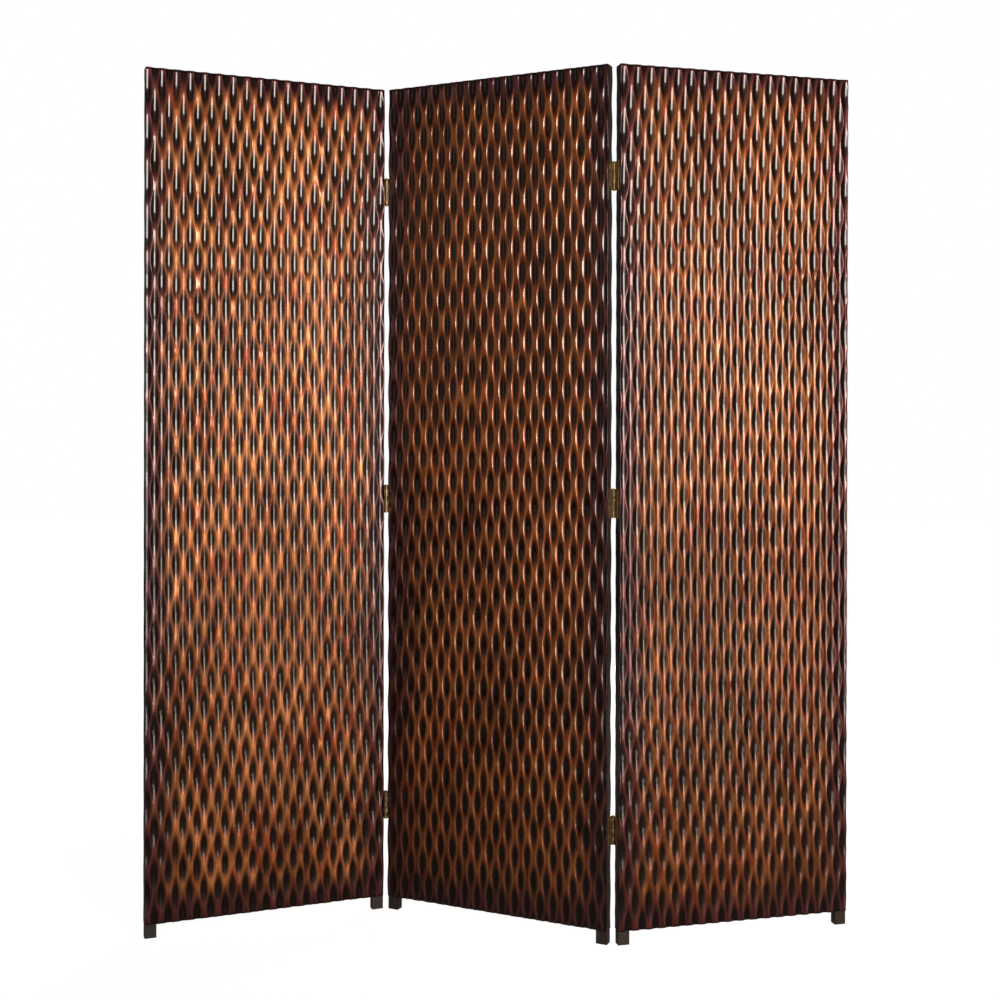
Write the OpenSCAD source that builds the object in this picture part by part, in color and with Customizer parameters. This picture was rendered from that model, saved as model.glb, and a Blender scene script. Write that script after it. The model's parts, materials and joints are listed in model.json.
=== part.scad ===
// Three-panel folding room divider: carved boards on slim wooden frames, six butt hinges.
// Millimetres. Origin on the floor under the middle of the opened screen,
// +Z up, -Y the side the screen is normally looked at from, +X to the right.

/* [Panels] */
// Height of every panel, floor to top edge
panel_h = 1800; // [1200:10:2100]
// Width of every panel
panel_w = 512; // [380:2:620]
// How far the two legs reach below the carved boards
leg_h = 29; // [15:1:80]
// Width of the upright stiles, seen from the front
stile_w = 24; // [20:1:40]
// Thickness of the frame between the two boards
frame_t = 18; // [14:1:26]
// Height of the bottom rail
bottom_rail_h = 45; // [30:1:80]
// Height of the top rail and of the cross rails
rail_h = 24; // [22:1:40]

/* [Carved boards] */
// Thickness of each carved board
board_t = 5.5; // [5:0.5:9]
// Depth of the carved flutes
flute_depth = 4.2; // [2:0.1:4.4]
// Number of flutes across one board
flute_count = 35; // [15:2:45]
// Flat left on the crest between two flutes
crest_w = 0.8; // [0.4:0.1:2]

/* [Opened position] */
// Turn of the left panel from straight across
left_turn = 21.5; // [10:0.5:40]
// Turn of the centre panel from straight across
centre_turn = -25; // [-40:0.5:-10]
// Turn of the right panel from straight across
right_turn = 14.5; // [10:0.5:40]

/* [Hinges] */
// Height of one hinge
hinge_h = 60; // [50:0.5:90]
// Height of the lowest hinge's middle above the floor
hinge_low_z = 230; // [150:5:320]
// Distance of the highest hinge's middle below the top edge
hinge_top_drop = 225; // [150:5:320]
// How far a leaf reaches over the panel edge, from the carved face
leaf_reach = 17; // [15:0.5:19]
// Sheet the leaves are rolled from
leaf_t = 1.5; // [1:0.1:1.8]
// Outside diameter of the barrel
barrel_d = 6.4; // [5.6:0.1:6.8]
// Diameter of the hinge pin
pin_d = 3.2; // [2.8:0.1:3.6]
// Gap between two panels when they stand in one line
seam_gap = 7; // [6.9:0.1:10]
// How far the hinge axis stands proud of the carved face
axis_proud = 1.5; // [1:0.1:2.5]

/* [Screws and dowels] */
// Shank diameter of the hinge screws
screw_d = 3.2; // [2.6:0.1:3.6]
// Length of the hinge screws
screw_len = 15; // [10:1:19]
// Diameter of the dowels in the frame corners
dowel_d = 8; // [6:1:9]
// Length of the dowels
dowel_len = 32; // [24:2:34]

/* [Hidden] */
$fn = 48;
cut_extra = 0.5;

panel_t = 2 * board_t + frame_t;
board_h = panel_h - leg_h;
rail_len = panel_w - 2 * stile_w;
half_gap = seam_gap / 2;

// The flute is a round-bottomed groove cut by a cylinder.
flute_pitch = panel_w / flute_count;
flute_w = flute_pitch - crest_w;
flute_r = (pow(flute_w / 2, 2) + pow(flute_depth, 2)) / (2 * flute_depth);

// Cross rails split the space between top and bottom rail into three equal fields.
inner_low = leg_h + bottom_rail_h;
inner_high = panel_h - rail_h;
field_h = (inner_high - inner_low - 2 * rail_h) / 3;
lower_cross_z = inner_low + field_h;
upper_cross_z = lower_cross_z + rail_h + field_h;

// Hinges: one low, one high, one midway.
hinge_top_z = panel_h - hinge_top_drop;
hinge_mid_z = (hinge_low_z + hinge_top_z) / 2;
hinge_zs = [hinge_low_z, hinge_mid_z, hinge_top_z];
barrel_r = barrel_d / 2;
pin_r = pin_d / 2;
pin_play = 0.05;
knuckle_count = 5;
knuckle_gap = 0.4;
knuckle_h = (hinge_h - (knuckle_count - 1) * knuckle_gap) / knuckle_count;
knuckle_step = knuckle_h + knuckle_gap;
// A leaf stays clear of the axis beside the other leaf's knuckles.
knuckle_clear = 0.2;
notch_reach = barrel_r + knuckle_clear;
// The pin's head stays inside the outline of the barrel.
pin_head_inset = 0.8;
pin_head_r = barrel_r - pin_head_inset;
pin_head_h = 1.2;
pin_tip_h = 0.8;

// Screws sit in the stile behind the carved board, the middle one a little deeper.
screw_r = screw_d / 2;
screw_head_r = 2 * screw_r;
screw_spread = hinge_h / 3;
screw_inset = 4;
screw_stagger = 2.5;
screw_row = board_t + screw_inset;
screw_row_mid = screw_row + screw_stagger;
screw_slot_w = 0.8;
screw_slot_d = 0.7;
screw_tip_h = 3;
screw_tip_r = screw_r / 4;

dowel_r = dowel_d / 2;
dowel_inset = dowel_len / 2;
dowel_bevel = 1;

// Room round the screws and dowels in their holes, for thread and glue.
hole_play = 0.06;

// Directions along a panel and through it, seen from above.
function along(turn) = [cos(turn), sin(turn)];
function through(turn) = [-sin(turn), cos(turn)];

// The panels are chained from the left over the two seams; depths are measured from the front face.
left_pin_depth = -axis_proud;
right_pin_depth = panel_t + axis_proud;
raw_left = [0, 0];
raw_left_pin = raw_left + along(left_turn) * (panel_w + half_gap) + through(left_turn) * left_pin_depth;
raw_centre = raw_left_pin + along(centre_turn) * half_gap - through(centre_turn) * left_pin_depth;
raw_right_pin = raw_centre + along(centre_turn) * (panel_w + half_gap)
    + through(centre_turn) * right_pin_depth;
raw_right = raw_right_pin + along(right_turn) * half_gap - through(right_turn) * right_pin_depth;

// Footprint of the opened screen, used to put the origin in its middle.
function corners(start, turn) = [
    start,
    start + along(turn) * panel_w,
    start + through(turn) * panel_t,
    start + along(turn) * panel_w + through(turn) * panel_t
];
all_corners = concat(
    corners(raw_left, left_turn),
    corners(raw_centre, centre_turn),
    corners(raw_right, right_turn)
);
corner_xs = [for (c = all_corners) c[0]];
corner_ys = [for (c = all_corners) c[1]];
middle = [(min(corner_xs) + max(corner_xs)) / 2, (min(corner_ys) + max(corner_ys)) / 2];

left_start = raw_left - middle;
centre_start = raw_centre - middle;
right_start = raw_right - middle;
left_pin = raw_left_pin - middle;
right_pin = raw_right_pin - middle;

// ---- colours and placing ----

frame_colour = [0.20, 0.12, 0.08];
board_colour = [0.38, 0.17, 0.08];
dowel_colour = [0.72, 0.56, 0.36];
hinge_colour = [0.42, 0.32, 0.18];
screw_colour = [0.36, 0.28, 0.17];

module on_left_panel() {
    translate([left_start[0], left_start[1], 0]) rotate([0, 0, left_turn]) children();
}

module on_centre_panel() {
    translate([centre_start[0], centre_start[1], 0]) rotate([0, 0, centre_turn]) children();
}

module on_right_panel() {
    translate([right_start[0], right_start[1], 0]) rotate([0, 0, right_turn]) children();
}

// Puts a hinge piece, drawn for a panel standing to the right of the axis, onto a pin.
// The panel side is +X from the axis; flip_x and flip_y mirror it to the other side or face.
module at_pin(pin, turn, z, flip_x, flip_y) {
    translate([pin[0], pin[1], z])
        rotate([0, 0, turn])
            mirror([flip_x ? 1 : 0, 0, 0])
                mirror([0, flip_y ? 1 : 0, 0])
                    children();
}

// ---- one panel, drawn with its front left foot corner at the origin ----

// Round holes for the dowels of one stile, from its inner edge; side is 0 for left, 1 for right.
module dowel_rods(side, r) {
    for (z = dowel_zs())
        translate([dowel_x(side), panel_t / 2, z])
            rotate([0, 90, 0])
                cylinder(r = r, h = dowel_len);
}

// Where a dowel starts, half of it in the stile and half in the rail.
function dowel_x(side) = side == 0 ? stile_w - dowel_inset : panel_w - stile_w - dowel_inset;

function dowel_zs() = [
    leg_h + bottom_rail_h / 2,
    lower_cross_z + rail_h / 2,
    upper_cross_z + rail_h / 2,
    panel_h - rail_h / 2
];

// Pilot holes of the hinge screws through one edge of a panel.
// edge_x is the edge, dir points into the wood, back is true for hinges at the back face.
module screw_holes(edge_x, dir, back) {
    for (hz = hinge_zs)
        for (k = [-1:1])
            translate([edge_x, screw_depth(k, back), hz + k * screw_spread])
                rotate([0, dir * 90, 0])
                    translate([0, 0, -cut_extra])
                        cylinder(r = screw_r + hole_play, h = screw_len - leaf_t + cut_extra);
}

function screw_depth(k, back) =
    let (row = k == 0 ? screw_row_mid : screw_row)
    back ? panel_t - row : row;

module stile(side) {
    x0 = side == 0 ? 0 : panel_w - stile_w;
    difference() {
        translate([x0, board_t, 0]) cube([stile_w, frame_t, panel_h]);
        dowel_rods(side, dowel_r + hole_play);
    }
}

module rail(z0, h) {
    difference() {
        translate([stile_w, board_t, z0]) cube([rail_len, frame_t, h]);
        dowel_rods(0, dowel_r + hole_play);
        dowel_rods(1, dowel_r + hole_play);
    }
}

module dowels() {
    for (side = [0, 1])
        for (z = dowel_zs())
            translate([dowel_x(side), panel_t / 2, z])
                rotate([0, 90, 0]) dowel();
}

module dowel() {
    cylinder(r1 = dowel_r - dowel_bevel, r2 = dowel_r, h = dowel_bevel);
    translate([0, 0, dowel_bevel]) cylinder(r = dowel_r, h = dowel_len - 2 * dowel_bevel);
    translate([0, 0, dowel_len - dowel_bevel])
        cylinder(r1 = dowel_r, r2 = dowel_r - dowel_bevel, h = dowel_bevel);
}

// A board with its flutes on the y = 0 face.
module fluted_board() {
    translate([0, 0, leg_h])
        linear_extrude(board_h)
            difference() {
                square([panel_w, board_t]);
                for (i = [0:flute_count - 1])
                    translate([(i + 0.5) * flute_pitch, flute_depth - flute_r])
                        circle(r = flute_r);
            }
}

module front_board() {
    fluted_board();
}

module back_board() {
    translate([0, panel_t, 0]) mirror([0, 1, 0]) fluted_board();
}

// ---- one hinge, drawn round its axis ----
// The leaf lies on a panel edge standing to the right of the axis,
// with the panel running away from the axis towards +Y in thickness.

module knuckle(i) {
    translate([0, 0, -hinge_h / 2 + i * knuckle_step]) cylinder(r = barrel_r, h = knuckle_h);
}

module leaf(first) {
    difference() {
        union() {
            translate([half_gap - leaf_t, notch_reach, -hinge_h / 2])
                cube([leaf_t, leaf_reach + axis_proud - notch_reach, hinge_h]);
            for (i = [first:2:knuckle_count - 1]) {
                knuckle(i);
                translate([half_gap - leaf_t, 0, -hinge_h / 2 + i * knuckle_step])
                    cube([leaf_t, notch_reach + cut_extra, knuckle_h]);
            }
        }
        translate([0, 0, -hinge_h]) cylinder(r = pin_r + pin_play, h = 2 * hinge_h);
        for (k = [-1:1])
            at_screw(k) screw_body();
    }
}

module at_screw(k) {
    row = k == 0 ? screw_row_mid : screw_row;
    translate([half_gap - leaf_t, row + axis_proud, k * screw_spread]) rotate([0, 90, 0]) children();
}

// Countersunk screw with its head flush at z = 0, pointing along +Z.
module screw_body() {
    cylinder(r1 = screw_head_r, r2 = screw_r, h = leaf_t);
    translate([0, 0, leaf_t]) cylinder(r = screw_r, h = screw_len - leaf_t - screw_tip_h);
    translate([0, 0, screw_len - screw_tip_h])
        cylinder(r1 = screw_r, r2 = screw_tip_r, h = screw_tip_h);
}

module screw() {
    difference() {
        screw_body();
        translate([-screw_slot_w / 2, -screw_head_r, -cut_extra])
            cube([screw_slot_w, 2 * screw_head_r, screw_slot_d + cut_extra]);
    }
}

module screw_set() {
    for (k = [-1:1])
        at_screw(k) screw();
}

module pin() {
    translate([0, 0, -hinge_h / 2 - pin_tip_h]) cylinder(r = pin_r, h = hinge_h + pin_tip_h);
    translate([0, 0, hinge_h / 2]) cylinder(r = pin_head_r, h = pin_head_h);
}

// ---- left panel ----

module left_outer_stile() {
    color(frame_colour)
        on_left_panel() stile(0);
}

module left_hinge_stile() {
    color(frame_colour)
        on_left_panel() difference() {
            stile(1);
            screw_holes(panel_w, -1, false);
        }
}

module left_top_rail() {
    color(frame_colour)
        on_left_panel() rail(inner_high, rail_h);
}

module left_bottom_rail() {
    color(frame_colour)
        on_left_panel() rail(leg_h, bottom_rail_h);
}

module left_lower_cross_rail() {
    color(frame_colour)
        on_left_panel() rail(lower_cross_z, rail_h);
}

module left_upper_cross_rail() {
    color(frame_colour)
        on_left_panel() rail(upper_cross_z, rail_h);
}

module left_dowels() {
    color(dowel_colour)
        on_left_panel() dowels();
}

module left_front_board() {
    color(board_colour)
        on_left_panel() front_board();
}

module left_back_board() {
    color(board_colour)
        on_left_panel() back_board();
}

// ---- centre panel ----

module centre_left_stile() {
    color(frame_colour)
        on_centre_panel() difference() {
            stile(0);
            screw_holes(0, 1, false);
        }
}

module centre_right_stile() {
    color(frame_colour)
        on_centre_panel() difference() {
            stile(1);
            screw_holes(panel_w, -1, true);
        }
}

module centre_top_rail() {
    color(frame_colour)
        on_centre_panel() rail(inner_high, rail_h);
}

module centre_bottom_rail() {
    color(frame_colour)
        on_centre_panel() rail(leg_h, bottom_rail_h);
}

module centre_lower_cross_rail() {
    color(frame_colour)
        on_centre_panel() rail(lower_cross_z, rail_h);
}

module centre_upper_cross_rail() {
    color(frame_colour)
        on_centre_panel() rail(upper_cross_z, rail_h);
}

module centre_dowels() {
    color(dowel_colour)
        on_centre_panel() dowels();
}

module centre_front_board() {
    color(board_colour)
        on_centre_panel() front_board();
}

module centre_back_board() {
    color(board_colour)
        on_centre_panel() back_board();
}

// ---- right panel ----

module right_hinge_stile() {
    color(frame_colour)
        on_right_panel() difference() {
            stile(0);
            screw_holes(0, 1, true);
        }
}

module right_outer_stile() {
    color(frame_colour)
        on_right_panel() stile(1);
}

module right_top_rail() {
    color(frame_colour)
        on_right_panel() rail(inner_high, rail_h);
}

module right_bottom_rail() {
    color(frame_colour)
        on_right_panel() rail(leg_h, bottom_rail_h);
}

module right_lower_cross_rail() {
    color(frame_colour)
        on_right_panel() rail(lower_cross_z, rail_h);
}

module right_upper_cross_rail() {
    color(frame_colour)
        on_right_panel() rail(upper_cross_z, rail_h);
}

module right_dowels() {
    color(dowel_colour)
        on_right_panel() dowels();
}

module right_front_board() {
    color(board_colour)
        on_right_panel() front_board();
}

module right_back_board() {
    color(board_colour)
        on_right_panel() back_board();
}

// ---- left seam ----

module left_seam_low_outer_leaf() {
    color(hinge_colour)
        at_pin(left_pin, left_turn, hinge_zs[0], true, false) leaf(1);
}

module left_seam_low_centre_leaf() {
    color(hinge_colour)
        at_pin(left_pin, centre_turn, hinge_zs[0], false, false) leaf(0);
}

module left_seam_low_pin() {
    color(hinge_colour)
        at_pin(left_pin, 0, hinge_zs[0], false, false) pin();
}

module left_seam_mid_outer_leaf() {
    color(hinge_colour)
        at_pin(left_pin, left_turn, hinge_zs[1], true, false) leaf(1);
}

module left_seam_mid_centre_leaf() {
    color(hinge_colour)
        at_pin(left_pin, centre_turn, hinge_zs[1], false, false) leaf(0);
}

module left_seam_mid_pin() {
    color(hinge_colour)
        at_pin(left_pin, 0, hinge_zs[1], false, false) pin();
}

module left_seam_top_outer_leaf() {
    color(hinge_colour)
        at_pin(left_pin, left_turn, hinge_zs[2], true, false) leaf(1);
}

module left_seam_top_centre_leaf() {
    color(hinge_colour)
        at_pin(left_pin, centre_turn, hinge_zs[2], false, false) leaf(0);
}

module left_seam_top_pin() {
    color(hinge_colour)
        at_pin(left_pin, 0, hinge_zs[2], false, false) pin();
}

module left_seam_outer_screws() {
    color(screw_colour)
        for (z = hinge_zs)
            at_pin(left_pin, left_turn, z, true, false) screw_set();
}

module left_seam_centre_screws() {
    color(screw_colour)
        for (z = hinge_zs)
            at_pin(left_pin, centre_turn, z, false, false) screw_set();
}

// ---- right seam ----

module right_seam_low_outer_leaf() {
    color(hinge_colour)
        at_pin(right_pin, right_turn, hinge_zs[0], false, true) leaf(1);
}

module right_seam_low_centre_leaf() {
    color(hinge_colour)
        at_pin(right_pin, centre_turn, hinge_zs[0], true, true) leaf(0);
}

module right_seam_low_pin() {
    color(hinge_colour)
        at_pin(right_pin, 0, hinge_zs[0], false, false) pin();
}

module right_seam_mid_outer_leaf() {
    color(hinge_colour)
        at_pin(right_pin, right_turn, hinge_zs[1], false, true) leaf(1);
}

module right_seam_mid_centre_leaf() {
    color(hinge_colour)
        at_pin(right_pin, centre_turn, hinge_zs[1], true, true) leaf(0);
}

module right_seam_mid_pin() {
    color(hinge_colour)
        at_pin(right_pin, 0, hinge_zs[1], false, false) pin();
}

module right_seam_top_outer_leaf() {
    color(hinge_colour)
        at_pin(right_pin, right_turn, hinge_zs[2], false, true) leaf(1);
}

module right_seam_top_centre_leaf() {
    color(hinge_colour)
        at_pin(right_pin, centre_turn, hinge_zs[2], true, true) leaf(0);
}

module right_seam_top_pin() {
    color(hinge_colour)
        at_pin(right_pin, 0, hinge_zs[2], false, false) pin();
}

module right_seam_outer_screws() {
    color(screw_colour)
        for (z = hinge_zs)
            at_pin(right_pin, right_turn, z, false, true) screw_set();
}

module right_seam_centre_screws() {
    color(screw_colour)
        for (z = hinge_zs)
            at_pin(right_pin, centre_turn, z, true, true) screw_set();
}

left_outer_stile();
left_hinge_stile();
left_top_rail();
left_bottom_rail();
left_lower_cross_rail();
left_upper_cross_rail();
left_dowels();
left_front_board();
left_back_board();
centre_left_stile();
centre_right_stile();
centre_top_rail();
centre_bottom_rail();
centre_lower_cross_rail();
centre_upper_cross_rail();
centre_dowels();
centre_front_board();
centre_back_board();
right_hinge_stile();
right_outer_stile();
right_top_rail();
right_bottom_rail();
right_lower_cross_rail();
right_upper_cross_rail();
right_dowels();
right_front_board();
right_back_board();
left_seam_low_outer_leaf();
left_seam_mid_outer_leaf();
left_seam_top_outer_leaf();
left_seam_low_centre_leaf();
left_seam_mid_centre_leaf();
left_seam_top_centre_leaf();
left_seam_low_pin();
left_seam_mid_pin();
left_seam_top_pin();
right_seam_low_outer_leaf();
right_seam_mid_outer_leaf();
right_seam_top_outer_leaf();
right_seam_low_centre_leaf();
right_seam_mid_centre_leaf();
right_seam_top_centre_leaf();
right_seam_low_pin();
right_seam_mid_pin();
right_seam_top_pin();
left_seam_outer_screws();
left_seam_centre_screws();
right_seam_centre_screws();
right_seam_outer_screws();
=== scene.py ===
"""Looks of a three-panel folding room divider: carved and lacquered boards on dark wooden frames."""

import json
import math

import bpy
import numpy as np
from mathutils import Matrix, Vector

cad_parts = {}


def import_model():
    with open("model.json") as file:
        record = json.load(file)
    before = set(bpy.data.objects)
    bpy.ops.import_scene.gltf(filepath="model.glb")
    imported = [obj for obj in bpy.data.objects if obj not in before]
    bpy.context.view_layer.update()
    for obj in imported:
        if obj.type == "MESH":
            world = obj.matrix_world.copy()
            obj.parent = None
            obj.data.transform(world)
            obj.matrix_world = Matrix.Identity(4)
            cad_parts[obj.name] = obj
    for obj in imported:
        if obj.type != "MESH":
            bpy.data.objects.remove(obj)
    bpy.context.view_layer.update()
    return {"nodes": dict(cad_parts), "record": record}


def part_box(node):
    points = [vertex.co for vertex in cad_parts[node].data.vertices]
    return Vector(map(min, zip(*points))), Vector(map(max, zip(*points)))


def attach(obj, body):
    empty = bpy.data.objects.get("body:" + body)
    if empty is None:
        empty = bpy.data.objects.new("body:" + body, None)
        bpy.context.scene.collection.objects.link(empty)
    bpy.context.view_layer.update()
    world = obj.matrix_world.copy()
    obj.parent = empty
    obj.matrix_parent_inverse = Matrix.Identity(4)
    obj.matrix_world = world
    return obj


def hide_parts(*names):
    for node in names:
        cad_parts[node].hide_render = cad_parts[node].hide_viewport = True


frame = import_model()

# ---- sizes, in metres ----

MM = 0.001
PANELS = {
    # turn: degrees from straight across
    # groove, drop: the first groove from the left edge and its first hollow from the top edge
    # gilt_and_panel_shade: how much gold shows through the glaze, set per panel as painted light and
    # shade of each panel; red_from: how little of it is red
    # coat, coat_loss: weight of the clear coat, and how far it is rubbed off the saddles
    "left": {
        "turn": 21.5, "groove": 4.5 * MM, "drop": 44 * MM,
        "gilt_and_panel_shade": 1.0, "red_from": 0.47, "coat": 0.82, "coat_loss": 0.85,
    },
    "centre": {
        "turn": -25.0, "groove": -0.8 * MM, "drop": 21 * MM,
        "gilt_and_panel_shade": 0.60, "red_from": 0.54, "coat": 1.0, "coat_loss": 0.50,
    },
    "right": {
        "turn": 14.5, "groove": 6.9 * MM, "drop": 42 * MM,
        "gilt_and_panel_shade": 0.44, "red_from": 0.47, "coat": 0.76, "coat_loss": 0.35,
    },
}
BOARD_T = 5.5 * MM
# A board is 512 mm wide. Grooves are laid out a little past it on both sides.
GROOVES_PER_BOARD = 35
HOLLOW_PITCH = 512 / GROOVES_PER_BOARD * MM
SPARE_GROOVES = 4
ROWS_OF_HOLLOWS = 18
# The gouge's round nose, how deep it runs, and how far it rises and falls along each groove.
GOUGE_R = 15 * MM
GOUGE_MEAN = 2.4 * MM
GOUGE_SWING = 1.85 * MM
DEEPEST_CUT = 4.6 * MM
EDGE_CLEAR = 5 * MM
# Two grooves this close in depth count as meeting on a ridge.
SAME_DEPTH = 0.01 * MM
# Rounds of solving where the arcs of two neighbouring grooves cross.
RIDGE_ROUNDS = 3
# The glaze counts as full this deep in the carving. The colour is drawn darker on the left wall of
# each groove than on its right one, and lighter away from its centre line: shares of full per metre
# from that line.
GLAZE_FULL_DEPTH = 4.2 * MM
GLAZE_LEFT_SKEW = 24
GLAZE_THINNING = 34
GLAZE_EXTRA = 0.08

# Mesh density: steps across one groove (closer together near the ridges) and along one hollow.
GROOVE_STEPS = np.array([0.0, 0.03, 0.11, 0.28, 0.5, 0.72, 0.89, 0.97])
EDGE_STEPS = 10
STEPS_PER_ROW = 18

# Irregularity of hand work: how far groove centres stray, and the spread of the hollows' places
# and depths as shares of one hollow and of the swing, drawn afresh at each knot up the board.
STRAY = 0.35 * MM
WANDER = 0.04
DEPTH_SPREAD = 0.14
KNOTS = 9


# ---- carved boards ----


def smooth_noise(rng, count, samples, spread):
    """count curves of samples points each, wandering slowly about zero by roughly spread."""
    knots = rng.normal(0.0, spread, (count, KNOTS))
    at = np.linspace(0, KNOTS - 1, samples)
    return np.array([np.interp(at, np.arange(KNOTS), row) for row in knots])


class Carving:
    """Depth of the carving on one board, over s from its left edge and z above its bottom edge."""

    def __init__(self, width, height, first_groove, first_drop, seed):
        rng = np.random.default_rng(seed)
        self.width = width
        self.rows = ROWS_OF_HOLLOWS * STEPS_PER_ROW + 1
        self.z = np.linspace(0, height, self.rows)
        count = int(width / HOLLOW_PITCH) + SPARE_GROOVES
        index = np.arange(count)
        self.centres = first_groove + (index - 1) * HOLLOW_PITCH
        self.centres = self.centres + rng.normal(0, STRAY, count)
        period = height / ROWS_OF_HOLLOWS
        turns = (self.z - (height - first_drop)) / period
        drift = smooth_noise(rng, 1, self.rows, WANDER)
        jitter = smooth_noise(rng, count, self.rows, WANDER)
        phase = 2 * math.pi * (turns[None, :] + (index[:, None] - 1) / 2 + drift + jitter)
        swing = GOUGE_SWING * (1 + smooth_noise(rng, count, self.rows, DEPTH_SPREAD))
        self.floor = GOUGE_MEAN + swing * np.cos(phase)

    def ridges(self):
        """s of each ridge that stays clear of the board's edges, one row per ridge."""
        left, right = self.centres[:-1, None], self.centres[1:, None]
        left_floor, right_floor = self.floor[:-1], self.floor[1:]
        crest = np.zeros_like(left_floor)
        for _ in range(RIDGE_ROUNDS):
            reach = GOUGE_R + crest - (left_floor + right_floor) / 2
            lines = (left + right) / 2 + (left_floor - right_floor) * reach / (right - left)
            crest = self.cut(lines, left, left_floor)
        keep = (lines.min(axis=1) > EDGE_CLEAR) & (lines.max(axis=1) < self.width - EDGE_CLEAR)
        return lines[keep]

    @staticmethod
    def cut(s, centre, floor):
        """Depth of one groove, a circular arc across its centre line."""
        aside = np.minimum(np.abs(s - centre), GOUGE_R)
        return floor - GOUGE_R + np.sqrt(GOUGE_R**2 - aside**2)

    def depth(self, s):
        """Depth below the crests at s, how deep the groove there runs from 0 to 1, and the
        distance to the left of the groove's centre line.

        s is one row of places for each height.
        """
        deepest = np.zeros_like(s)
        hollow = np.full_like(s, 0.5)
        leftward = np.zeros_like(s)
        for centre, floor in zip(self.centres, self.floor):
            cut = self.cut(s, centre, floor[:, None])
            run = np.broadcast_to((floor[:, None] - GOUGE_MEAN) / (2 * GOUGE_SWING) + 0.5, s.shape)
            tied = np.abs(cut - deepest) < SAME_DEPTH
            hollow = np.where(tied, (hollow + run) / 2, np.where(cut > deepest, run, hollow))
            aside = np.where(cut > deepest, centre - s, leftward)
            leftward = np.where(tied, 0.0, aside)
            deepest = np.maximum(deepest, cut)
        return np.minimum(deepest, DEEPEST_CUT), hollow, leftward

    def places(self):
        """s of every vertex, one row for each height, following the ridges."""
        lines = self.ridges()
        zero = np.zeros((1, self.rows))
        bounds = np.concatenate([zero, lines, zero + self.width])
        columns = []
        last = len(bounds) - 2
        for i in range(len(bounds) - 1):
            steps = np.arange(EDGE_STEPS) / EDGE_STEPS if i in (0, last) else GROOVE_STEPS
            for step in steps:
                columns.append(bounds[i] + step * (bounds[i + 1] - bounds[i]))
        columns.append(bounds[-1])
        return np.array(columns).T


def panel_axes(turn):
    """Unit vectors along a panel, and through it from front to back."""
    angle = math.radians(turn)
    along = np.array([math.cos(angle), math.sin(angle), 0.0])
    through = np.array([-math.sin(angle), math.cos(angle), 0.0])
    return along, through


def board_frame(node, turn, outward):
    """Lower left corner of a board's carved face, its width and its height."""
    low, high = (np.array(corner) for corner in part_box(node))
    along, through = panel_axes(turn)
    size = high - low
    width = (size[0] - BOARD_T * abs(through[0])) / along[0]
    middle = (low + high) / 2
    corner = middle - along * width / 2 + through * outward * BOARD_T / 2
    corner[2] = low[2]
    return corner, width, size[2]


def grid_faces(rows, columns, flipped):
    """Quads of a rows by columns grid."""
    r, c = np.meshgrid(np.arange(rows - 1), np.arange(columns - 1), indexing="ij")
    a = (r * columns + c).ravel()
    quads = np.stack([a, a + 1, a + columns + 1, a + columns], axis=1)
    return quads[:, ::-1] if flipped else quads


def boundary(rows, columns):
    """Indices round the grid, anticlockwise from the lower left corner."""
    bottom = np.arange(columns)
    right = np.arange(1, rows) * columns + columns - 1
    top = (rows - 1) * columns + np.arange(columns - 2, -1, -1)
    left = np.arange(rows - 2, 0, -1) * columns
    return np.concatenate([bottom, right, top, left])


def carved_board(panel, side):
    """A closed board with its carved face outwards, as a mesh object."""
    node = f"{panel}_{side}_board"
    style = PANELS[panel]
    outward = -1 if side == "front" else 1
    along, through = panel_axes(style["turn"])
    inward = -outward * through
    corner, width, height = board_frame(node, style["turn"], outward)
    seed = sum(ord(letter) for letter in node)
    carving = Carving(width, height, style["groove"], style["drop"], seed)
    s = carving.places()
    depth, hollow, leftward = carving.depth(s)
    z = np.repeat(carving.z[:, None], s.shape[1], axis=1)
    ring = boundary(*s.shape)

    face = corner + s[..., None] * along + depth[..., None] * inward
    face[..., 2] += z
    back = corner + s.ravel()[ring][:, None] * along + BOARD_T * inward
    back[:, 2] += z.ravel()[ring]
    points = np.concatenate([face.reshape(-1, 3), back])
    flipped = side == "back"
    quads = grid_faces(*s.shape, flipped)
    rim, closing = rim_faces(ring, s.size, flipped)
    mesh = mesh_from(node + "_carved", points, np.concatenate([quads, rim]), closing)

    def spread_over(name, on_face, on_back):
        values = np.concatenate([on_face.ravel(), np.full(len(ring), on_back)])
        add_values(mesh, name, values)

    # Glaze level shifted: darker on each groove's left wall than on its right one, lighter away from
    # the centre line.
    glaze_shift = leftward * GLAZE_LEFT_SKEW - np.abs(leftward) * GLAZE_THINNING + GLAZE_EXTRA
    spread_over("glaze", depth / GLAZE_FULL_DEPTH + glaze_shift, BOARD_T / GLAZE_FULL_DEPTH)
    spread_over("hollow", hollow, 1.0)
    spread_over("from_side", np.minimum(s, width - s), 0.0)
    spread_over("from_top", height - z, 0.0)
    spread_over("from_bottom", z, 0.0)
    shade_front_smooth(mesh, len(quads))
    piece = bpy.data.objects.new(node + "_carved", mesh)
    bpy.context.scene.collection.objects.link(piece)
    return piece


def rim_faces(ring, count, flipped):
    """Quads round the board's edge, and the one face that closes its back.

    count is the number of vertices on the carved face; those on the back follow them.
    """
    back_here = count + np.arange(len(ring))
    back_there = np.roll(back_here, -1)
    rim = np.stack([np.roll(ring, -1), ring, back_here, back_there], axis=1)
    if flipped:
        return rim[:, ::-1], back_here
    return rim, back_here[::-1]


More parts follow.
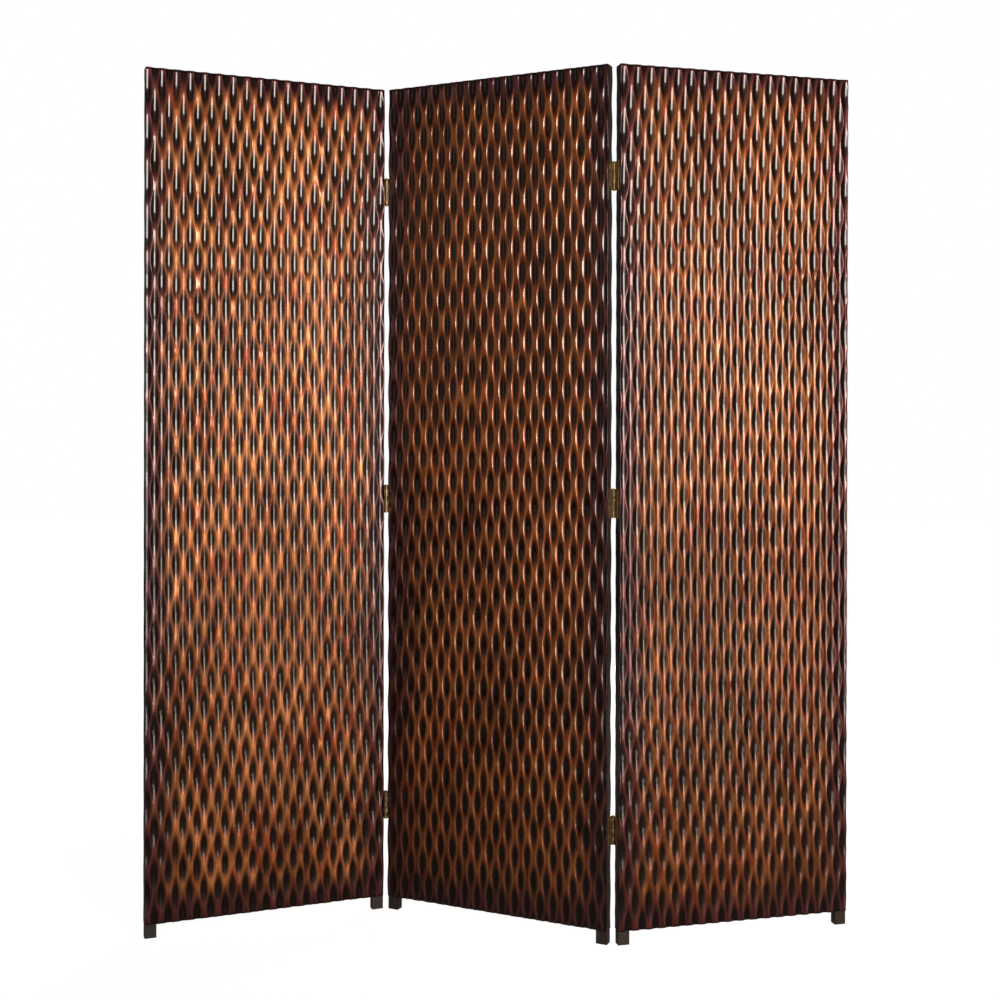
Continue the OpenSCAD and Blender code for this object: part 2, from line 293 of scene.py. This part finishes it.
def mesh_from(name, points, quads, closing):
    """A mesh of quads and one closing face."""
    mesh = bpy.data.meshes.new(name)
    mesh.vertices.add(len(points))
    mesh.vertices.foreach_set("co", points.astype(np.float32).ravel())
    corners = np.concatenate([quads.ravel(), closing]).astype(np.int32)
    starts = np.concatenate([np.arange(len(quads)) * 4, [len(quads) * 4]]).astype(np.int32)
    mesh.loops.add(len(corners))
    mesh.loops.foreach_set("vertex_index", corners)
    mesh.polygons.add(len(starts))
    mesh.polygons.foreach_set("loop_start", starts)
    mesh.update(calc_edges=True)
    mesh.validate()
    return mesh


def add_values(mesh, name, values):
    layer = mesh.attributes.new(name, "FLOAT", "POINT")
    layer.data.foreach_set("value", values.astype(np.float32))


def shade_front_smooth(mesh, front_count):
    """Smooth carved face, flat rim and back, so that the board's arrises stay crisp."""
    smooth = np.zeros(len(mesh.polygons), dtype=bool)
    smooth[:front_count] = True
    mesh.polygons.foreach_set("use_smooth", smooth)


# ---- material building ----


class Nodes:
    """A short way to add and link shader nodes."""

    def __init__(self, name):
        self.material = bpy.data.materials.new(name)
        self.material.use_nodes = True
        self.tree = self.material.node_tree
        self.shader = self.tree.nodes["Principled BSDF"]

    def add(self, kind, **settings):
        node = self.tree.nodes.new("ShaderNode" + kind)
        for key, value in settings.items():
            setattr(node, key, value)
        return node

    def link(self, source, target):
        self.tree.links.new(source, target)

    def value(self, name):
        return self.add("Attribute", attribute_name=name).outputs["Fac"]

    def math(self, operation, a, b, clamp=False):
        node = self.add("Math", operation=operation, use_clamp=clamp)
        for socket, given in zip(node.inputs, (a, b)):
            if isinstance(given, (int, float)):
                socket.default_value = given
            else:
                self.link(given, socket)
        return node.outputs[0]

    def ramp(self, source, stops):
        """Colours at places from 0 to 1, with straight blends between them."""
        node = self.add("ValToRGB")
        ramp = node.color_ramp
        ramp.interpolation = "LINEAR"
        while len(ramp.elements) < len(stops):
            ramp.elements.new(0.5)
        for element, (place, colour) in zip(ramp.elements, stops):
            element.position = place
            element.color = (*colour, 1.0)
        self.link(source, node.inputs["Fac"])
        return node.outputs["Color"]

    def fade(self, source, low, high):
        """0 below low, 1 above high, smooth between."""
        node = self.add("MapRange", interpolation_type="SMOOTHSTEP", clamp=True)
        self.link(source, node.inputs["Value"])
        node.inputs["From Min"].default_value = low
        node.inputs["From Max"].default_value = high
        return node.outputs["Result"]

    def spread(self, source, low, high):
        """0 to 1 carried over to low to high."""
        node = self.add("MapRange", clamp=True)
        self.link(source, node.inputs["Value"])
        node.inputs["To Min"].default_value = low
        node.inputs["To Max"].default_value = high
        return node.outputs["Result"]

    def mix(self, factor, a, b, blend="MIX"):
        node = self.add("Mix", data_type="RGBA", blend_type=blend)
        factor_socket, a_socket, b_socket = node.inputs[0], node.inputs[6], node.inputs[7]
        for socket, given in ((factor_socket, factor), (a_socket, a), (b_socket, b)):
            if isinstance(given, (int, float)):
                socket.default_value = given
            elif isinstance(given, tuple):
                socket.default_value = (*given, 1.0)
            else:
                self.link(given, socket)
        return node.outputs[2]

    def grey(self, value):
        node = self.add("CombineColor")
        for socket in node.inputs[:3]:
            self.link(value, socket)
        return node.outputs[0]

    def place(self, turn=0.0, scale=(1, 1, 1)):
        """Coordinates in metres along, through and up a panel turned by turn degrees."""
        coords = self.add("TexCoord").outputs["Object"]
        turned = self.add("VectorRotate", rotation_type="Z_AXIS")
        turned.inputs["Angle"].default_value = -math.radians(turn)
        self.link(coords, turned.inputs["Vector"])
        mapping = self.add("Mapping")
        mapping.inputs["Scale"].default_value = scale
        self.link(turned.outputs[0], mapping.inputs["Vector"])
        return mapping.outputs[0]

    def noise(self, vector, scale, detail=3.0, roughness=0.5):
        node = self.add("TexNoise")
        self.link(vector, node.inputs["Vector"])
        node.inputs["Scale"].default_value = scale
        node.inputs["Detail"].default_value = detail
        node.inputs["Roughness"].default_value = roughness
        return node.outputs["Fac"]

    def bump(self, height, strength, distance, under=None):
        node = self.add("Bump")
        node.inputs["Strength"].default_value = strength
        node.inputs["Distance"].default_value = distance
        self.link(height, node.inputs["Height"])
        if under is not None:
            self.link(under, node.inputs["Normal"])
        return node.outputs["Normal"]

    def finish(self, colour, roughness, normal, **plain):
        """Links the three outputs, sets the shader's plain numbers and gives the material."""
        for name, given in (("Base Color", colour), ("Roughness", roughness), ("Normal", normal)):
            self.link(given, self.shader.inputs[name])
        for name, number in plain.items():
            self.shader.inputs[name.replace("_", " ")].default_value = number
        return self.material


# Glaze colours, linear: worn crests, walls in warm and in red patches, and the glaze pooled in
# the hollows; then the burst round the edges of a board, on its walls, crests and in its hollows.
GOLD = (0.45, 0.195, 0.075)
AMBER = (0.41, 0.122, 0.034)
RUST = (0.36, 0.092, 0.030)
CHERRY = (0.26, 0.046, 0.017)
MAHOGANY = (0.115, 0.027, 0.008)
POOLED = (0.010, 0.0055, 0.0035)
BURST = (0.062, 0.017, 0.016)
BURST_CREST = (0.13, 0.031, 0.026)
BURST_POOLED = (0.010, 0.004, 0.004)
# The frame's stained timber, the dowels, and the bronze of hinges and screws.
WOOD_PORES = (0.009, 0.006, 0.0045)
WOOD_DARK = (0.030, 0.019, 0.014)
WOOD_LIGHT = (0.060, 0.038, 0.026)
WOOD_RUBBED = (0.085, 0.050, 0.028)
BEECH_DARK = (0.42, 0.27, 0.14)
BEECH_LIGHT = (0.66, 0.47, 0.28)
BRONZE_BROWN = (0.16, 0.105, 0.045)
BRONZE_SPECKS = (0.05, 0.032, 0.016)
HINGE_BRIGHT = (0.42, 0.29, 0.14)
SCREW_BRIGHT = (0.36, 0.25, 0.13)
# How wide a band of the patch noise the change from warm to red takes.
RED_BLEND = 0.14
# Where the burst begins and ends to thin out, in metres from each kind of edge.
BURST_REACH = {
    "from_side": (0.006, 0.080),
    "from_top": (0.015, 0.075),
    "from_bottom": (0.008, 0.100),
}


def blend(start, end, share):
    return tuple(a + (b - a) * share for a, b in zip(start, end))


def centred(n, source, size):
    """A noise carried over to plus or minus half of size."""
    return n.math("MULTIPLY", n.math("SUBTRACT", source, 0.5), size)


def glaze_level(n, turn, even, grain):
    """How thick the glaze lies, from 0 on a worn crest to 1 where it pooled."""
    dabs = n.noise(even, scale=60, detail=3.0, roughness=0.65)
    streaks = n.noise(n.place(turn, (1, 1, 0.12)), scale=170, detail=3.0, roughness=0.6)
    shifts = n.math("ADD", centred(n, grain, 0.22), centred(n, streaks, 0.40))
    thickness = n.math("ADD", n.value("glaze"), centred(n, dabs, 0.45))
    return n.math("ADD", thickness, shifts, clamp=True)


def glaze_colour(n, level, even, gilt_and_panel_shade, red_from):
    """Gold to mahogany to black with the glaze's thickness, in warmer and redder patches."""
    # The three panels share one finish: the gold share differs between them as painted light and
    # shade.
    gold, amber, rust, cherry = (
        blend(MAHOGANY, colour, gilt_and_panel_shade) for colour in (GOLD, AMBER, RUST, CHERRY)
    )
    warm = n.ramp(level, [(0.02, gold), (0.19, amber), (0.50, MAHOGANY), (0.76, POOLED)])
    red = n.ramp(level, [(0.02, rust), (0.17, cherry), (0.46, MAHOGANY), (0.74, POOLED)])
    patches = n.noise(even, scale=16, detail=4.0, roughness=0.7)
    colour = n.mix(n.fade(patches, red_from, red_from + RED_BLEND), warm, red)
    dapple = n.noise(even, scale=34, detail=3.0, roughness=0.6)
    mottle = n.spread(n.fade(dapple, 0.35, 0.65), 0.72, 1.18)
    cloud = n.spread(n.fade(n.noise(even, scale=6, detail=2.0), 0.36, 0.62), 0.70, 1.10)
    return n.mix(1.0, colour, n.grey(n.math("MULTIPLY", mottle, cloud)), "MULTIPLY")


def clear_of_burst(n, even):
    """0 in the dark burst round the board's edges, 1 inside it, with a ragged border."""
    ragged = centred(n, n.noise(even, scale=22, detail=3.0), 0.07)
    fades = []
    for name, (start, end) in BURST_REACH.items():
        fades.append(n.fade(n.math("ADD", n.value(name), ragged), start, end))
    sides, top, bottom = fades
    return n.math("MULTIPLY", n.math("MULTIPLY", sides, top), bottom)


def carved_lacquer(panel):
    """Glaze by depth, a dark burst at the edges, and a clear coat rubbed thin on the saddles."""
    n = Nodes(f"carved_lacquer_{panel}")
    style = PANELS[panel]
    turn = style["turn"]
    even = n.place(turn, (1, 1, 0.55))
    grain = n.noise(n.place(turn, (1, 1, 0.08)), scale=420, detail=4.0, roughness=0.6)
    level = glaze_level(n, turn, even, grain)
    colour = glaze_colour(n, level, even, style["gilt_and_panel_shade"], style["red_from"])
    burst = n.ramp(level, [(0.0, BURST_CREST), (0.20, BURST), (0.6, BURST_POOLED)])
    inside = clear_of_burst(n, even)
    colour = n.mix(inside, burst, colour)
    roughness = n.spread(n.noise(even, scale=120, detail=3.0), 0.32, 0.50)
    ripple = n.noise(n.place(turn, (1, 1, 0.6)), scale=210, detail=2.0)
    rippled = n.bump(ripple, strength=0.10, distance=0.6 * MM)
    normal = n.bump(grain, strength=0.12, distance=0.4 * MM, under=rippled)
    saddle = n.math("SUBTRACT", 1.0, n.fade(n.value("hollow"), 0.03, 0.28))
    rubbed = n.math("MULTIPLY", inside, saddle)
    worn_coat = style["coat"] * (1 - style["coat_loss"])
    n.link(n.spread(rubbed, style["coat"], worn_coat), n.shader.inputs["Coat Weight"])
    return n.finish(colour, roughness, normal, Metallic=0.6, Specular_IOR_Level=0.1,
                    Coat_Roughness=0.10, Coat_IOR=1.5)


def frame_wood(panel, upright):
    """Dark stained timber with its grain along the piece."""
    n = Nodes(f"frame_wood_{panel}_{'upright' if upright else 'across'}")
    turn = PANELS[panel]["turn"]
    scale = (1, 1, 0.05) if upright else (0.05, 1, 1)
    fibres = n.noise(n.place(turn, scale), scale=520, detail=5.0, roughness=0.65)
    bands = n.noise(n.place(turn, scale), scale=90, detail=3.0, roughness=0.6)
    figure = n.math("ADD", n.math("MULTIPLY", fibres, 0.5), n.math("MULTIPLY", bands, 0.5))
    stained = n.ramp(figure, [(0.30, WOOD_PORES), (0.52, WOOD_DARK), (0.72, WOOD_LIGHT)])
    rubbed = n.fade(n.noise(n.place(turn), scale=14, detail=3.0), 0.60, 0.78)
    colour = n.mix(n.math("MULTIPLY", rubbed, 0.35), stained, WOOD_RUBBED)
    roughness = n.spread(fibres, 0.28, 0.50)
    normal = n.bump(fibres, strength=0.25, distance=0.4 * MM)
    return n.finish(colour, roughness, normal, Coat_Weight=0.5, Coat_Roughness=0.18)


def beech():
    """Plain pale wood of the hidden dowels."""
    n = Nodes("beech_dowel")
    fibres = n.noise(n.place(), scale=300, detail=4.0)
    colour = n.ramp(fibres, [(0.3, BEECH_DARK), (0.7, BEECH_LIGHT)])
    roughness = n.spread(fibres, 0.55, 0.75)
    normal = n.bump(fibres, strength=0.3, distance=0.3 * MM)
    return n.finish(colour, roughness, normal)


def antique_bronze(name, bright):
    """Tumbled brass, brown in the low places and bare where it rubs."""
    n = Nodes(name)
    coords = n.place()
    cloud = n.noise(coords, scale=140, detail=4.0, roughness=0.6)
    specks = n.noise(coords, scale=900, detail=3.0, roughness=0.6)
    tarnish = n.fade(cloud, 0.40, 0.66)
    colour = n.mix(tarnish, BRONZE_BROWN, bright)
    colour = n.mix(n.fade(specks, 0.60, 0.72), colour, BRONZE_SPECKS)
    roughness = n.spread(cloud, 0.30, 0.52)
    normal = n.bump(specks, strength=0.2, distance=0.2 * MM)
    return n.finish(colour, roughness, normal, Metallic=0.85)


# ---- the object ----

# Edges of the stiles that turn by more than ARRIS_ANGLE degrees are rounded off.
ARRIS_WIDTH = 0.7 * MM
ARRIS_ANGLE = 50
ARRIS_SEGMENTS = 2

bodies = frame["record"]["behaviour"]["bodies"]


def body_name(node):
    return next(name for name, members in bodies.items() if node in members)


def paint(node, material):
    """Gives a CAD node its material."""
    slots = frame["nodes"][node].material_slots
    for slot in slots:
        slot.link = "OBJECT"
        slot.material = material


def soften(node):
    """Breaks the sharp arrises of a CAD node."""
    bevel = frame["nodes"][node].modifiers.new("arris", "BEVEL")
    bevel.width = ARRIS_WIDTH
    bevel.segments = ARRIS_SEGMENTS
    bevel.limit_method = "ANGLE"
    bevel.angle_limit = math.radians(ARRIS_ANGLE)


for panel in PANELS:
    lacquer = carved_lacquer(panel)
    for side in ("front", "back"):
        board = carved_board(panel, side)
        board.data.materials.append(lacquer)
        node = f"{panel}_{side}_board"
        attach(board, body_name(node))
        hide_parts(node)

    upright = frame_wood(panel, True)
    across = frame_wood(panel, False)
    dowel_wood = beech()
    for node in frame["nodes"]:
        if not node.startswith(panel):
            continue
        if node.endswith("stile"):
            paint(node, upright)
            soften(node)
        elif node.endswith("rail"):
            paint(node, across)
        elif node.endswith("dowels"):
            paint(node, dowel_wood)

bronze = antique_bronze("antique_bronze", HINGE_BRIGHT)
screw_bronze = antique_bronze("screw_bronze", SCREW_BRIGHT)
for node in frame["nodes"]:
    if node.endswith("leaf") or node.endswith("pin"):
        paint(node, bronze)
    elif node.endswith("screws"):
        paint(node, screw_bronze)


# ---- floor, light and camera ----

WHITE = (1.0, 1.0, 1.0, 1.0)
LAMP_COLOUR = (1.0, 0.95, 0.88)
ROOM_COLOUR = (0.95, 0.97, 1.0, 1.0)
ROOM_STRENGTH = 0.05
# Height of the point all lamps but the one on the floor are aimed at.
LIGHTS_AIM = 0.95

FLOOR_HALF = 14.0
FLOOR_COLOUR = (0.16, 0.15, 0.14, 1.0)
# To the camera the floor glows this brightly near the object, and rises to full brightness
# between these distances from its middle.
FLOOR_GLOW = 0.93
FLOOR_FADE_FROM = 0.8
FLOOR_FADE_TO = 2.2
# Height of the lamp that lies on the floor.
FLOOR_LAMP_Z = 0.03

# Fitted to the screen's corners in the photograph; the two tilts are in degrees.
CAMERA_PLACE = (0.0, -2.9137, 1.0404)
CAMERA_LENS = 49.33
CAMERA_SHIFT = -0.0600
CAMERA_DOWN = 0.164
CAMERA_ROLL = -0.11


def floor():
    """A pale floor that the camera sees fade to white, and that stays dim in the lacquer."""
    half = FLOOR_HALF
    mesh = bpy.data.meshes.new("floor")
    corners = [(-half, -half, 0), (half, -half, 0), (half, half, 0), (-half, half, 0)]
    mesh.from_pydata(corners, [], [(0, 1, 2, 3)])
    plane = bpy.data.objects.new("floor", mesh)
    bpy.context.scene.collection.objects.link(plane)
    n = Nodes("pale_floor")
    n.shader.inputs["Base Color"].default_value = FLOOR_COLOUR
    n.shader.inputs["Roughness"].default_value = 0.9
    n.shader.inputs["Specular IOR Level"].default_value = 0.1
    away = n.add("VectorMath", operation="LENGTH")
    n.link(n.add("TexCoord").outputs["Object"], away.inputs[0])
    glow = n.add("MapRange", interpolation_type="SMOOTHSTEP")
    n.link(away.outputs["Value"], glow.inputs["Value"])
    glow.inputs["From Min"].default_value = FLOOR_FADE_FROM
    glow.inputs["From Max"].default_value = FLOOR_FADE_TO
    glow.inputs["To Min"].default_value = FLOOR_GLOW
    glow.inputs["To Max"].default_value = 1.0
    seen = n.add("LightPath").outputs["Is Camera Ray"]
    n.shader.inputs["Emission Color"].default_value = WHITE
    n.link(n.math("MULTIPLY", seen, glow.outputs[0]), n.shader.inputs["Emission Strength"])
    mesh.materials.append(n.material)


def softbox(name, azimuth, distance, height, width, tall, watts):
    """An area light round the object, at azimuth degrees to the right of its front."""
    light = bpy.data.lights.new(name, "AREA")
    light.shape = "RECTANGLE"
    light.size = width
    light.size_y = tall
    light.energy = watts
    light.color = LAMP_COLOUR
    lamp = bpy.data.objects.new(name, light)
    angle = math.radians(azimuth)
    place = Vector((math.sin(angle) * distance, -math.cos(angle) * distance, height))
    lamp.location = place
    aim = Vector((0, 0, LIGHTS_AIM)) - place
    lamp.rotation_euler = aim.to_track_quat("-Z", "Y").to_euler()
    bpy.context.scene.collection.objects.link(lamp)
    lamp.visible_camera = False
    return lamp


def floor_glow(azimuth, distance, width, length, watts):
    """A lit board lying on the floor under the key light, with its length towards the object."""
    lamp = softbox("floor_glow", azimuth, distance, FLOOR_LAMP_Z, width, length, watts)
    lamp.rotation_euler = (math.pi, 0.0, math.radians(azimuth))


def world():
    """White where the camera looks past the object, and a dim grey room for the reflections."""
    made = bpy.data.worlds.new("studio")
    bpy.context.scene.world = made
    made.use_nodes = True
    tree = made.node_tree
    tree.nodes.clear()
    path = tree.nodes.new("ShaderNodeLightPath")
    seen = tree.nodes.new("ShaderNodeBackground")
    seen.inputs["Color"].default_value = WHITE
    room = tree.nodes.new("ShaderNodeBackground")
    room.inputs["Color"].default_value = ROOM_COLOUR
    room.inputs["Strength"].default_value = ROOM_STRENGTH
    mix = tree.nodes.new("ShaderNodeMixShader")
    out = tree.nodes.new("ShaderNodeOutputWorld")
    tree.links.new(path.outputs["Is Camera Ray"], mix.inputs["Fac"])
    tree.links.new(room.outputs[0], mix.inputs[1])
    tree.links.new(seen.outputs[0], mix.inputs[2])
    tree.links.new(mix.outputs[0], out.inputs["Surface"])


def camera():
    data = bpy.data.cameras.new("camera")
    data.sensor_width = 36.0
    data.lens = CAMERA_LENS
    data.shift_y = CAMERA_SHIFT
    data.clip_end = 60.0
    cam = bpy.data.objects.new("camera", data)
    cam.location = CAMERA_PLACE
    cam.rotation_euler = (math.radians(90 - CAMERA_DOWN), math.radians(CAMERA_ROLL), 0.0)
    bpy.context.scene.collection.objects.link(cam)
    bpy.context.scene.camera = cam


floor()
world()
# Azimuth in degrees, then distance, height (not for the lamp on the floor), width and length in
# metres, then watts.
softbox("key_high", 27, 3.3, 1.8, 1.15, 1.2, 88)
softbox("key_low", 27, 3.3, 0.62, 0.9, 1.15, 29)
softbox("key_wing", 11, 3.2, 1.2, 0.8, 2.2, 6)
floor_glow(28, 2.2, 0.8, 1.8, 15)
softbox("side_fill", -50, 3.3, 1.7, 1.6, 2.4, 4)
softbox("overhead", -10, 2.0, 3.6, 2.0, 2.0, 15).visible_glossy = False
softbox("back_key", 165, 3.3, 1.15, 1.15, 2.2, 115)
camera()
view = bpy.context.scene.view_settings
view.view_transform = "Standard"
view.look = "None"
